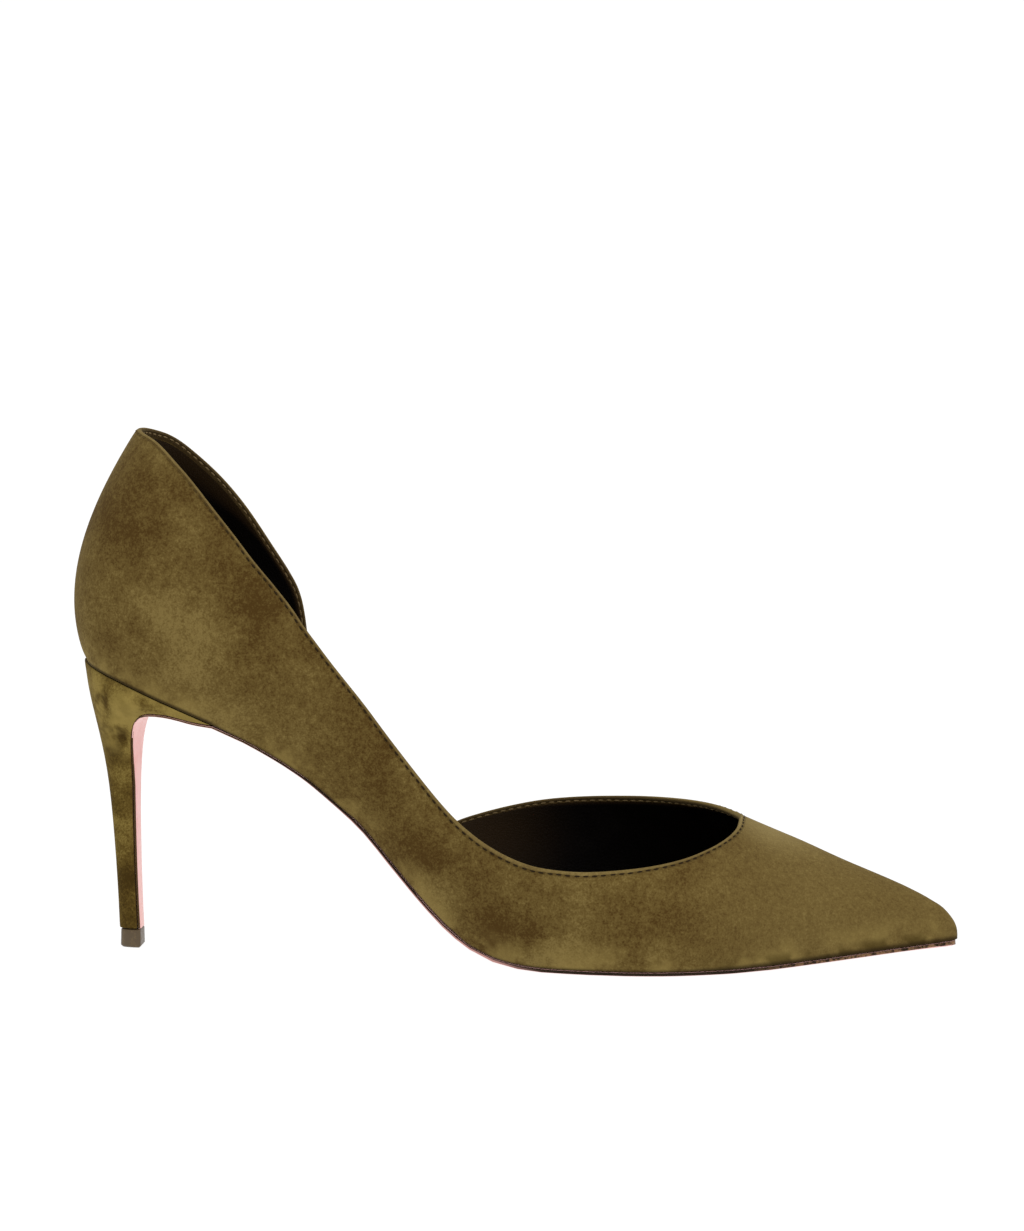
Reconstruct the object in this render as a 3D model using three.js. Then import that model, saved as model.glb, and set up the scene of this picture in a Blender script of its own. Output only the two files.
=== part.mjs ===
// A pointed stiletto pump for the right foot, with a half-open inner side: the upper is cut down to the
// sole between its vamp and its heel quarter on the inner side, and runs through on the outer side.
// Millimetres. +X points to the toe, +Y to the inner side of the foot, +Z up.
// The origin is the middle of the heel tip's worn face, on the floor.
import * as THREE from "three";

// Driving dimensions.
const lastLength = 255.4; // the back edge of the heel seat to the toe tip, level
const heelSet = 13.9; // how far the seat's back edge lies behind the heel tip's middle
const heelHeight = 85.4; // the floor to the seat's back edge
const counterHeight = 67.6; // the seat's back edge to the top line at the centre back
const vampHeight = 39.6; // the feather line to the throat
const coneHeight = 84.2; // the feather line to the top of the last at the back
const ballWidth = 76.4;
const waistWidth = 38.6;
const seatWidth = 49.8;
const toeSpring = 5.0; // how far the toe tip's feather line lies above that of the ball
const throatPlace = 192.3; // the throat of the vamp, ahead of the seat's back edge
const marginHeight = 3.6; // the band that the cut-out leaves round the insole's edge
const vampWall = 1.8; // suede and lining
const tipWall = 1.1; // at the toe tip, where the lining is skived
const counterWall = 2.4; // suede, stiffener and lining
const soleThickness = 1.5; // at the ball
const waistThickness = 1.1;
const flapThickness = 0.8; // the tongue of the sole that is turned down the heel's front
const soleInset = 0.7; // how far the upper overhangs the sole
const insoleThickness = 2.4;
const fit = 0.3; // between two pieces that meet
const lipLength = 41; // the heel's seat, from its back edge to the front of its lip
const stemWidth = 8.4;
const tipHeight = 5.3;
const tipChamfer = 0.5;
const tipInset = 0.4; // the heel overhangs its tip at the back

// Level of detail.
const wallSteps = 9; // up the upper's wall
const rimSteps = 4; // round its folded top edge
const heelSideSteps = 12; // from the heel's front corner to its back
const frontSteps = 4; // across the heel's front

// The feather line, where the upper meets the sole, seen from the side.
// along: share of lastLength; rise: share of heelHeight less the sole; spring: share of toeSpring.
const BOTTOM = [
  { along: 0.0, rise: 1.0, spring: 0 },
  { along: 0.055, rise: 0.935, spring: 0 },
  { along: 0.104, rise: 0.8735, spring: 0 },
  { along: 0.155, rise: 0.808, spring: 0 },
  { along: 0.204, rise: 0.736, spring: 0 },
  { along: 0.26, rise: 0.632, spring: 0 },
  { along: 0.297, rise: 0.54, spring: 0 },
  { along: 0.329, rise: 0.45, spring: 0 },
  { along: 0.364, rise: 0.323, spring: 0 },
  { along: 0.397, rise: 0.208, spring: 0 },
  { along: 0.426, rise: 0.12, spring: 0 },
  { along: 0.457, rise: 0.053, spring: 0 },
  { along: 0.491, rise: 0.014, spring: 0 },
  { along: 0.532, rise: 0, spring: 0 },
  { along: 0.575, rise: 0, spring: 0 },
  { along: 0.68, rise: 0, spring: 0 },
  { along: 0.738, rise: 0, spring: 0.02 },
  { along: 0.778, rise: 0, spring: 0.09 },
  { along: 0.836, rise: 0, spring: 0.3 },
  { along: 0.895, rise: 0, spring: 0.55 },
  { along: 0.945, rise: 0, spring: 0.77 },
  { along: 1.0, rise: 0, spring: 1 },
];

// The plan of the feather line, from the centre back to the toe tip.
// width: the size that the half-widths are shares of; outer and inner: the two sides of the foot;
// ribs: how many ribs of the upper start between this row and the next.
const FEATHER = [
  { along: 0.0, width: seatWidth, outer: 0, inner: 0, ribs: 2 },
  { along: 0.0078, width: seatWidth, outer: 0.185, inner: 0.185, ribs: 2 },
  { along: 0.026, width: seatWidth, outer: 0.325, inner: 0.325, ribs: 2 },
  { along: 0.0554, width: seatWidth, outer: 0.42, inner: 0.418, ribs: 2 },
  { along: 0.0945, width: seatWidth, outer: 0.486, inner: 0.48, ribs: 2 },
  { along: 0.1413, width: seatWidth, outer: 0.503, inner: 0.488, ribs: 3 },
  { along: 0.196, width: seatWidth, outer: 0.488, inner: 0.452, ribs: 9 },
  { along: 0.2506, width: waistWidth, outer: 0.6, inner: 0.51, ribs: 8 },
  { along: 0.3052, width: waistWidth, outer: 0.578, inner: 0.442, ribs: 4 },
  { along: 0.3599, width: waistWidth, outer: 0.58, inner: 0.42, ribs: 6 },
  { along: 0.4067, width: waistWidth, outer: 0.637, inner: 0.482, ribs: 3 },
  { along: 0.4536, width: ballWidth, outer: 0.372, inner: 0.309, ribs: 2 },
  { along: 0.5082, width: ballWidth, outer: 0.437, inner: 0.388, ribs: 2 },
  { along: 0.5628, width: ballWidth, outer: 0.49, inner: 0.448, ribs: 2 },
  { along: 0.6175, width: ballWidth, outer: 0.514, inner: 0.484, ribs: 2 },
  { along: 0.6721, width: ballWidth, outer: 0.503, inner: 0.487, ribs: 2 },
  { along: 0.719, width: ballWidth, outer: 0.461, inner: 0.458, ribs: 2 },
  { along: 0.7658, width: ballWidth, outer: 0.401, inner: 0.405, ribs: 2 },
  { along: 0.8166, width: ballWidth, outer: 0.324, inner: 0.327, ribs: 2 },
  { along: 0.8673, width: ballWidth, outer: 0.243, inner: 0.245, ribs: 2 },
  { along: 0.9141, width: ballWidth, outer: 0.168, inner: 0.169, ribs: 2 },
  { along: 0.9532, width: ballWidth, outer: 0.108, inner: 0.108, ribs: 2 },
  { along: 0.9805, width: ballWidth, outer: 0.066, inner: 0.066, ribs: 2 },
  { along: 0.9953, width: ballWidth, outer: 0.036, inner: 0.036, ribs: 2 },
  { along: 1.0, width: ballWidth, outer: 0, inner: 0, ribs: 0 },
];

// The crest of the last, one row for each row of FEATHER: the top of the rib that starts there.
// From the row at 0.6721 on, both sides meet on the ridge of the vamp.
// up: share of coneHeight above the feather line; outer and inner: where the crest lies to the side, as a
// share of seatWidth, towards the outer side and towards the inner side.
const CREST = [
  { along: 0.0833, up: 1.0008, outer: 0, inner: 0 },
  { along: 0.0883, up: 1.0009, outer: 0.12, inner: 0.12 },
  { along: 0.1018, up: 1.001, outer: 0.217, inner: 0.217 },
  { along: 0.1243, up: 0.9993, outer: 0.293, inner: 0.293 },
  { along: 0.151, up: 0.9936, outer: 0.341, inner: 0.337 },
  { along: 0.1823, up: 0.9699, outer: 0.37, inner: 0.361 },
  { along: 0.2213, up: 0.9175, outer: 0.39, inner: 0.381 },
  { along: 0.2642, up: 0.8701, outer: 0.402, inner: 0.394 },
  { along: 0.313, up: 0.8472, outer: 0.402, inner: 0.394 },
  { along: 0.3638, up: 0.8586, outer: 0.386, inner: 0.378 },
  { along: 0.4087, up: 0.8969, outer: 0.341, inner: 0.341 },
  { along: 0.4536, up: 0.9338, outer: 0.273, inner: 0.289 },
  { along: 0.5082, up: 0.9222, outer: 0.181, inner: 0.221 },
  { along: 0.5628, up: 0.8483, outer: 0.08, inner: 0.153 },
  { along: 0.6175, up: 0.7423, outer: -0.01, inner: 0.1 },
  { along: 0.6721, up: 0.62, outer: -0.06, inner: 0.06 },
  { along: 0.719, up: 0.522, outer: -0.06, inner: 0.06 },
  { along: 0.7658, up: 0.4495, outer: -0.06, inner: 0.06 },
  { along: 0.8166, up: 0.3803, outer: -0.052, inner: 0.052 },
  { along: 0.8673, up: 0.3003, outer: -0.042, inner: 0.042 },
  { along: 0.9133, up: 0.2333, outer: -0.03, inner: 0.03 },
  { along: 0.9504, up: 0.1753, outer: -0.018, inner: 0.018 },
  { along: 0.9711, up: 0.1363, outer: -0.008, inner: 0.008 },
  { along: 0.9801, up: 0.1173, outer: -0.003, inner: 0.003 },
  { along: 0.9828, up: 0.1093, outer: 0, inner: 0 },
];

// How full each rib is, one row for each row of FEATHER.
// flare: degrees that the wall leans out at the feather line on either side; low and high: how long the
// rib keeps its direction at its foot and at its crest, as shares of its length; drop: degrees that the
// rib falls away from the crest.
const FULLNESS = [
  { flareOuter: 22, flareInner: 22, low: 0.36, high: 0.329, drop: 56 },
  { flareOuter: 21, flareInner: 21, low: 0.355, high: 0.326, drop: 58 },
  { flareOuter: 20, flareInner: 20, low: 0.35, high: 0.318, drop: 62 },
  { flareOuter: 18, flareInner: 18, low: 0.34, high: 0.308, drop: 66.5 },
  { flareOuter: 17, flareInner: 17, low: 0.33, high: 0.3, drop: 71 },
  { flareOuter: 17, flareInner: 17, low: 0.33, high: 0.3, drop: 73 },
  { flareOuter: 19, flareInner: 20, low: 0.33, high: 0.3, drop: 73 },
  { flareOuter: 24, flareInner: 26, low: 0.33, high: 0.3, drop: 73 },
  { flareOuter: 29, flareInner: 33, low: 0.33, high: 0.3, drop: 71 },
  { flareOuter: 31, flareInner: 36, low: 0.33, high: 0.3, drop: 68 },
  { flareOuter: 28, flareInner: 33, low: 0.33, high: 0.32, drop: 60 },
  { flareOuter: 22, flareInner: 26, low: 0.34, high: 0.34, drop: 47 },
  { flareOuter: 17, flareInner: 19, low: 0.36, high: 0.36, drop: 30 },
  { flareOuter: 14, flareInner: 15, low: 0.38, high: 0.38, drop: 15 },
  { flareOuter: 12, flareInner: 12, low: 0.4, high: 0.4, drop: 5 },
  { flareOuter: 11, flareInner: 11, low: 0.4, high: 0.4, drop: 0 },
  { flareOuter: 11, flareInner: 11, low: 0.4, high: 0.4, drop: 0 },
  { flareOuter: 11, flareInner: 11, low: 0.4, high: 0.4, drop: 0 },
  { flareOuter: 12, flareInner: 12, low: 0.4, high: 0.37, drop: 0 },
  { flareOuter: 12, flareInner: 12, low: 0.4, high: 0.35, drop: 0 },
  { flareOuter: 10, flareInner: 10, low: 0.4, high: 0.34, drop: 0 },
  { flareOuter: 8, flareInner: 8, low: 0.4, high: 0.33, drop: 0 },
  { flareOuter: 5, flareInner: 5, low: 0.4, high: 0.33, drop: 0 },
  { flareOuter: 3, flareInner: 3, low: 0.4, high: 0.34, drop: 0 },
  { flareOuter: 3, flareInner: 3, low: 0.4, high: 0.35, drop: 0 },
];

// The top line seen from the side, as a height above the feather line, on the outer side.
// along: share of lastLength; height: the size that it follows; share: of that size.
const TOP_OUTER = [
  { along: 0.06, height: counterHeight, share: 1.088 },
  { along: 0.0855, height: counterHeight, share: 1.09 },
  { along: 0.118, height: counterHeight, share: 1.037 },
  { along: 0.1326, height: counterHeight, share: 1.006 },
  { along: 0.146, height: counterHeight, share: 0.968 },
  { along: 0.17, height: counterHeight, share: 0.9 },
  { along: 0.19, height: counterHeight, share: 0.845 },
  { along: 0.206, height: counterHeight, share: 0.797 },
  { along: 0.2286, height: counterHeight, share: 0.746 },
  { along: 0.2513, height: counterHeight, share: 0.694 },
  { along: 0.267, height: counterHeight, share: 0.65 },
  { along: 0.33, height: counterHeight, share: 0.56 },
  { along: 0.397, height: counterHeight, share: 0.531 },
  { along: 0.443, height: counterHeight, share: 0.5 },
  { along: 0.489, height: vampHeight, share: 0.791 },
  { along: 0.534, height: vampHeight, share: 0.732 },
  { along: 0.562, height: vampHeight, share: 0.72 },
  { along: 0.589, height: vampHeight, share: 0.713 },
  { along: 0.6178, height: vampHeight, share: 0.73 },
  { along: 0.644, height: vampHeight, share: 0.746 },
  { along: 0.668, height: vampHeight, share: 0.768 },
  { along: 0.6963, height: vampHeight, share: 0.803 },
  { along: 0.7139, height: vampHeight, share: 0.838 },
  { along: 0.7309, height: vampHeight, share: 0.875 },
  { along: 0.7485, height: vampHeight, share: 0.933 },
  { along: 0.7513, height: vampHeight, share: 0.952 },
  { along: 0.7525, height: vampHeight, share: 0.977 },
];

// The same on the inner side, where the line falls to the sole and rises again.
const TOP_INNER = [
  { along: 0.06, height: counterHeight, share: 1.092 },
  { along: 0.0855, height: counterHeight, share: 1.093 },
  { along: 0.125, height: counterHeight, share: 1.037 },
  { along: 0.1573, height: counterHeight, share: 0.965 },
  { along: 0.1792, height: counterHeight, share: 0.896 },
  { along: 0.1988, height: counterHeight, share: 0.817 },
  { along: 0.2233, height: counterHeight, share: 0.724 },
  { along: 0.2354, height: counterHeight, share: 0.662 },
  { along: 0.2415, height: counterHeight, share: 0.575 },
  { along: 0.2475, height: counterHeight, share: 0.385 },
  { along: 0.2575, height: counterHeight, share: 0.184 },
  { along: 0.269, height: counterHeight, share: 0.089 },
  { along: 0.29, height: marginHeight, share: 1.12 },
  { along: 0.306, height: marginHeight, share: 1 },
  { along: 0.354, height: marginHeight, share: 1 },
  { along: 0.37, height: marginHeight, share: 1.25 },
  { along: 0.3875, height: vampHeight, share: 0.232 },
  { along: 0.4067, height: vampHeight, share: 0.427 },
  { along: 0.4266, height: vampHeight, share: 0.605 },
  { along: 0.47, height: vampHeight, share: 0.856 },
  { along: 0.5172, height: vampHeight, share: 0.987 },
  { along: 0.564, height: vampHeight, share: 1.017 },
  { along: 0.6171, height: vampHeight, share: 1.036 },
  { along: 0.658, height: vampHeight, share: 1.048 },
  { along: 0.705, height: vampHeight, share: 1.056 },
  { along: 0.7266, height: vampHeight, share: 1.048 },
  { along: 0.738, height: vampHeight, share: 1.027 },
  { along: 0.746, height: vampHeight, share: 1.009 },
];

// The heel, one row for each level from the seat down. Each level is a flat slice from a point on the
// heel's back to a point on its front.
// back and front: how far ahead of the seat's back edge, as shares of lipLength;
// backUp and frontUp: shares of heelHeight; half: share of seatWidth; round: how far the slice has
// turned from the seat's plan into the stem's round-backed one; stem: how much of its width is the stem's.
const HEEL = [
  { back: 0.01, backUp: 0.97, front: 0.86, frontUp: 0.811, half: 0.492, round: 0.04, stem: 0 },
  { back: 0.023, backUp: 0.937, front: 0.7, frontUp: 0.828, half: 0.468, round: 0.12, stem: 0 },
  { back: 0.038, backUp: 0.9, front: 0.555, frontUp: 0.833, half: 0.43, round: 0.24, stem: 0.05 },
  { back: 0.058, backUp: 0.857, front: 0.462, frontUp: 0.823, half: 0.375, round: 0.4, stem: 0.15 },
  { back: 0.081, backUp: 0.81, front: 0.4, frontUp: 0.793, half: 0.31, round: 0.58, stem: 0.3 },
  { back: 0.11, backUp: 0.748, front: 0.37, frontUp: 0.738, half: 0.24, round: 0.78, stem: 0.5 },
  { back: 0.146, backUp: 0.665, front: 0.361, frontUp: 0.658, half: 0.17, round: 0.93, stem: 0.8 },
  { back: 0.176, backUp: 0.57, front: 0.361, frontUp: 0.567, half: 0.12, round: 1, stem: 1 },
  { back: 0.202, backUp: 0.45, front: 0.362, frontUp: 0.448, half: 0.105, round: 1, stem: 1 },
  { back: 0.226, backUp: 0.3, front: 0.368, frontUp: 0.3, half: 0.096, round: 1, stem: 1 },
  { back: 0.243, backUp: 0.16, front: 0.378, frontUp: 0.16, half: 0.088, round: 1, stem: 1 },
  { back: 0.25, backUp: 0.0656, front: 0.387, frontUp: 0.0656, half: 0.084, round: 1, stem: 1 },
];

// A curve through a table's points that never swings past them.
function steadyCurve(xs, ys) {
  const slope = xs.slice(1).map((x, i) => (ys[i + 1] - ys[i]) / (x - xs[i]));
  const tangent = xs.map((_, i) => {
    if (i === 0) return slope[0];
    if (i === xs.length - 1) return slope[i - 1];
    if (slope[i - 1] * slope[i] <= 0) return 0;
    const before = xs[i] - xs[i - 1];
    const after = xs[i + 1] - xs[i];
    return (3 * (before + after)) / ((2 * after + before) / slope[i - 1] + (after + 2 * before) / slope[i]);
  });
  return (x) => {
    let i = xs.findIndex((knot) => knot > x) - 1;
    if (i === -2) i = xs.length - 2;
    i = Math.max(i, 0);
    const step = xs[i + 1] - xs[i];
    const t = THREE.MathUtils.clamp((x - xs[i]) / step, 0, 1);
    const h = (1 - t) * (1 - t);
    return (
      (1 + 2 * t) * h * ys[i] +
      t * h * step * tangent[i] +
      t * t * (3 - 2 * t) * ys[i + 1] +
      t * t * (t - 1) * step * tangent[i + 1]
    );
  };
}

const toX = (along) => along * lastLength - heelSet;
const baseHeight = soleThickness + fit;

// The height of the feather line above the floor, at a place along the shoe.
const featherHeight = steadyCurve(
  BOTTOM.map((row) => toX(row.along)),
  BOTTOM.map((row) => baseHeight + row.rise * (heelHeight - baseHeight) + row.spring * toeSpring),
);

// The last. Its ribs stand in a closed ring: place 0 is the centre back, 0.5 the toe tip, with the outer
// side between them and the inner side on the way back.
function ringOf(point) {
  const last = FEATHER.length - 1;
  const rows = FEATHER.map((_, i) => i);
  const outer = rows.map((i) => point(i, "outer", -1));
  const inner = rows.slice(1, last).reverse().map((i) => point(i, "inner", 1));
  return new THREE.CatmullRomCurve3([...outer, ...inner], true, "centripetal");
}
const footRing = ringOf((i, side, sign) => {
  const row = FEATHER[i];
  return new THREE.Vector3(toX(row.along), sign * row[side] * row.width, 0);
});
const crestRing = ringOf((i, side, sign) => {
  const row = CREST[i];
  return new THREE.Vector3(toX(row.along), sign * row[side] * seatWidth, row.up * coneHeight);
});
const fullnessRing = ringOf((i, side) => {
  const row = FULLNESS[i];
  const flare = side === "outer" ? row.flareOuter : row.flareInner;
  return new THREE.Vector3(flare, row.drop, row.low);
});
const highRing = ringOf((i) => new THREE.Vector3(i / 100, FULLNESS[i].high, 0));

const around = (place) => THREE.MathUtils.euclideanModulo(place, 1);
const placeStep = 2e-4;
const tipReach = 4e-3; // beside the toe tip, where the crest's slope is read
const foldReach = 10; // behind the throat, where the wall's end rises to the ridge

function footAt(place) {
  const p = footRing.getPoint(around(place));
  p.z = featherHeight(p.x);
  return p;
}
function crestAt(place) {
  const p = crestRing.getPoint(around(place));
  p.z += featherHeight(p.x);
  return p;
}
// The level direction that points out of the last at a place on the feather line.
function outwardAt(place) {
  const ahead = footRing.getPoint(around(place + placeStep));
  const behind = footRing.getPoint(around(place - placeStep));
  return new THREE.Vector3(ahead.y - behind.y, behind.x - ahead.x, 0).normalize();
}
// The rib at a place, from its foot to its crest, as a Bezier curve.
function ribAt(place) {
  const foot = footAt(place);
  const crest = crestAt(place);
  const out = outwardAt(place);
  const fullness = fullnessRing.getPoint(around(place));
  const flare = THREE.MathUtils.degToRad(fullness.x);
  const drop = THREE.MathUtils.degToRad(fullness.y);
  const low = fullness.z;
  const high = highRing.getPoint(around(place)).y;
  const reach = foot.distanceTo(crest);
  const atTip = Math.abs(around(place) - ringHalf) < tipReach;
  const beside = atTip ? ringHalf - tipReach : place;
  const ahead = crestAt(beside + placeStep);
  const behind = crestAt(beside - placeStep);
  const ridge = THREE.MathUtils.smoothstep(crest.x, toX(0.4), toX(0.62));
  const fall = ridge > 0 ? (ridge * (ahead.z - behind.z)) / (ahead.x - behind.x) : 0;
  const lowHandle = out.clone().multiplyScalar(Math.sin(flare)).setZ(Math.cos(flare));
  const highHandle = out.clone().setZ(out.x * fall).multiplyScalar(Math.cos(drop));
  highHandle.z -= Math.sin(drop);
  return new THREE.CubicBezierCurve3(
    foot,
    foot.clone().addScaledVector(lowHandle, low * reach),
    crest.clone().addScaledVector(highHandle, high * reach),
    crest,
  );
}
// The direction out of the last at a height on a rib, from 0 at its foot to 1 at its crest.
function normalAt(place, height) {
  const along = ribAt(place + placeStep).getPoint(height).sub(ribAt(place - placeStep).getPoint(height));
  const up = ribAt(place).getTangent(height);
  return along.cross(up).normalize();
}

const throatX = throatPlace - heelSet;
const ringHalf = 0.5;
const rowStep = ringHalf / (FEATHER.length - 1);

// The place on the outer side where the crest reaches a given length.
function placeOfCrest(x) {
  let low = 0;
  let high = ringHalf;
  for (let i = 0; i < 50; i++) {
    const middle = (low + high) / 2;
    if (crestAt(middle).x < x) low = middle;
    else high = middle;
  }
  return low;
}
const throatRib = placeOfCrest(throatX);

// A top line's height above the feather line, closed at the throat, where it meets the crest.
function topLine(rows) {
  const crest = crestAt(throatRib);
  return steadyCurve(
    [...rows.map((row) => toX(row.along)), throatX],
    [...rows.map((row) => row.share * row.height), crest.z - featherHeight(crest.x)],
  );
}
const topOuter = topLine(TOP_OUTER);
const topInner = topLine(TOP_INNER);

// The wall's thickness at a place along the shoe.
const counterEnd = toX(0.22);
const vampStart = toX(0.42);
function wallAt(x) {
  const wall = THREE.MathUtils.lerp(counterWall, vampWall, THREE.MathUtils.smoothstep(x, counterEnd, vampStart));
  return THREE.MathUtils.lerp(wall, tipWall, THREE.MathUtils.smoothstep(x, toX(0.955), toX(0.995)));
}

// How far up its rib the wall reaches at a place: 1 from the throat to the toe. The top line is that of the
// folded edge, a half-round that stands on the wall, so the wall ends half its thickness below.
function wallTop(place) {
  const rib = ribAt(place);
  const top = around(place) <= ringHalf ? topOuter : topInner;
  const line = (x) => featherHeight(x) + top(x);
  const above = (height) => {
    const p = rib.getPoint(height);
    const fold = (wallAt(p.x) / 2) * Math.hypot(1, line(p.x + 0.5) - line(p.x - 0.5));
    return p.z - line(p.x) + fold * THREE.MathUtils.smoothstep(throatX - p.x, 0, foldReach);
  };
  const scanSteps = 60;
  let high = 1 / scanSteps;
  while (high < 1 && above(high) < 0) high += 1 / scanSteps;
  let low = high - 1 / scanSteps;
  for (let i = 0; i < 30; i++) {
    const middle = (low + high) / 2;
    if (above(middle) < 0) low = middle;
    else high = middle;
  }
  return Math.min(high, 1);
}

// The places of the ribs on one side, from the centre back to the toe tip, with the throat's own rib
// among them. Behind the throat they stand closer and closer, because the top line turns across there.
const closeRibs = 12;
const closeReach = 0.052; // share of the ring
const places = [];
FEATHER.forEach((row, i) => {
  for (let j = 0; j < row.ribs; j++) {
    const place = (i + j / row.ribs) * rowStep;
    const nearThroat = place > throatRib - closeReach * 1.1 && place < throatRib + rowStep * 0.3;
    if (!nearThroat) places.push(place);
  }
});
for (let k = 0; k <= closeRibs; k++) places.push(throatRib - closeReach * (k / closeRibs) ** 2);
places.push(ringHalf);
places.sort((a, b) => a - b);
const throatIndex = places.indexOf(throatRib);

// A closed mesh from points that its quads and triangles share.
class Skin {
  constructor() {
    this.number = new Map();
    this.faces = [];
  }
  triangle(...corners) {
    if (new Set(corners).size < 3) return;
    for (const p of corners) {
      if (!this.number.has(p)) this.number.set(p, this.number.size);
      this.faces.push(this.number.get(p));
    }
  }
  quad(a, b, c, d) {
    this.triangle(a, b, c);
    this.triangle(a, c, d);
  }
  // Quads between two rows of points of the same length.
  strip(rowA, rowB) {
    for (let i = 0; i + 1 < rowA.length; i++) this.quad(rowA[i], rowA[i + 1], rowB[i + 1], rowB[i]);
  }
  geometry() {
    const made = new THREE.BufferGeometry().setFromPoints([...this.number.keys()]);
    made.setIndex(this.faces);
    made.computeVertexNormals();
    return made;
  }
}

// Closed sections, one after another, with their ends filled.
function loft(sections) {
  const skin = new Skin();
  sections.slice(1).forEach((section, i) => {
    skin.strip([...sections[i], sections[i][0]], [...section, section[0]]);
  });
  const fill = (section, turn) => {
    const middle = new THREE.Vector3();
    section.forEach((p) => middle.addScaledVector(p, 1 / section.length));
    section.forEach((p, i) => {
      const next = section[(i + 1) % section.length];
      if (turn) skin.triangle(middle, next, p);
      else skin.triangle(middle, p, next);
    });
  };
  fill(sections[0], true);
  fill(sections[sections.length - 1], false);
  return skin.geometry();
}

// The wall of the upper at a place: its outer and inner points from the feather line up.
function wallRib(place, top) {
  const rib = ribAt(place);
  const outer = [];
  const inner = [];
  for (let j = 0; j <= wallSteps; j++) {
    const height = (top * j) / wallSteps;
    const p = rib.getPoint(height);
    outer.push(p);
    inner.push(p.clone().addScaledVector(normalAt(place, height), -wallAt(p.x)));
  }
  inner[0].copy(outer[0]).addScaledVector(outwardAt(place), -wallAt(outer[0].x));
  inner[0].z = featherHeight(inner[0].x);
  return { outer, inner };
}

// The folded top edge of a rib, round from its outer point to its inner point. It lies flatter at the
// throat, where it turns sharply.
function rimOf(rib, before, after) {
  const outerTop = rib.outer[wallSteps];
  const innerTop = rib.inner[wallSteps];
  const across = outerTop.clone().sub(innerTop).divideScalar(2);
  const middle = outerTop.clone().add(innerTop).divideScalar(2);
  const along = after.outer[wallSteps].clone().sub(before.outer[wallSteps]);
  const flat = 1 - THREE.MathUtils.smoothstep(throatX - outerTop.x, 0, foldReach);
  const away = across.clone().cross(along).setLength(across.length() * (1 - 0.8 * flat));
  const rim = [outerTop];
  for (let j = 1; j < rimSteps; j++) {
    const turn = (Math.PI * j) / rimSteps;
    rim.push(middle.clone().addScaledVector(across, Math.cos(turn)).addScaledVector(away, Math.sin(turn)));
  }
  return [...rim, innerTop];
}

// The upper: one wall round the last, open underneath, at the collar and at the inner side's cut-out.
// From the throat to the toe the two sides meet on the ridge of the vamp.
function upperGeometry() {
  const outerRibs = places.map((place, i) => wallRib(place, i < throatIndex ? wallTop(place) : 1));
  const innerRibs = places.map((place, i) => wallRib(1 - place, i < throatIndex ? wallTop(1 - place) : 1));
  const toe = places.length - 1;
  innerRibs[0] = outerRibs[0];
  innerRibs[toe] = outerRibs[toe];
  for (let i = throatIndex; i < toe; i++) {
    outerRibs[i].inner[wallSteps].add(innerRibs[i].inner[wallSteps]).divideScalar(2);
    innerRibs[i].inner[wallSteps] = outerRibs[i].inner[wallSteps];
    innerRibs[i].outer[wallSteps] = outerRibs[i].outer[wallSteps];
  }
  const tip = outerRibs[toe];
  const beside = outerRibs[toe - 1];
  tip.inner[wallSteps].subVectors(beside.inner[wallSteps], beside.outer[wallSteps]).add(tip.outer[wallSteps]);
  const throat = rimOf(outerRibs[throatIndex], outerRibs[throatIndex - 1], innerRibs[throatIndex - 1]);
  outerRibs[throatIndex].rim = throat;
  innerRibs[throatIndex].rim = throat;
  for (let i = 0; i < throatIndex; i++) {
    outerRibs[i].rim = rimOf(outerRibs[i], i > 0 ? outerRibs[i - 1] : innerRibs[1], outerRibs[i + 1]);
    if (i > 0) innerRibs[i].rim = rimOf(innerRibs[i], innerRibs[i + 1], innerRibs[i - 1]);
  }
  const ring = [...outerRibs, ...innerRibs.slice(1, toe).reverse()];
  const skin = new Skin();
  ring.forEach((rib, i) => {
    const next = ring[(i + 1) % ring.length];
    skin.strip(next.outer, rib.outer);
    skin.strip(rib.inner, next.inner);
    skin.quad(rib.outer[0], rib.inner[0], next.inner[0], next.outer[0]);
    if (rib.rim && next.rim) skin.strip(next.rim, rib.rim);
  });
  return skin.geometry();
}

// A bar of points from the outer side to the inner side of the feather line, drawn in by an inset.
function crossBar(place, inset, steps) {
  const outer = footAt(place).addScaledVector(outwardAt(place), -inset);
  const inner = footAt(1 - place).addScaledVector(outwardAt(1 - place), -inset);
  return Array.from({ length: steps + 1 }, (_, i) => {
    const p = outer.clone().lerp(inner, i / steps);
    return p.setZ(featherHeight(p.x));
  });
}

// The insole with its sock, which fills the floor of the upper.
function insoleGeometry() {
  const rows = places.filter((_, i) => i % 2 === 0 || i > throatIndex + 4);
  const sections = rows.map((place) => {
    const lower = crossBar(place, wallAt(footAt(place).x) + fit, 6);
    const upper = lower.map((p) => p.clone().setZ(p.z + insoleThickness));
    return [...lower, ...upper.reverse()];
  });
  return loft(sections);
}

// The plan of the heel's slices, from the front corner to the centre back: how far forward, how wide.
const lipPlace = (() => {
  let low = 0;
  let high = ringHalf;
  for (let i = 0; i < 50; i++) {
    const middle = (low + high) / 2;
    if (footAt(middle).x < lipLength - heelSet) low = middle;
    else high = middle;
  }
  return low;
})();
const seatHalf = seatWidth / 2;

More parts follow.
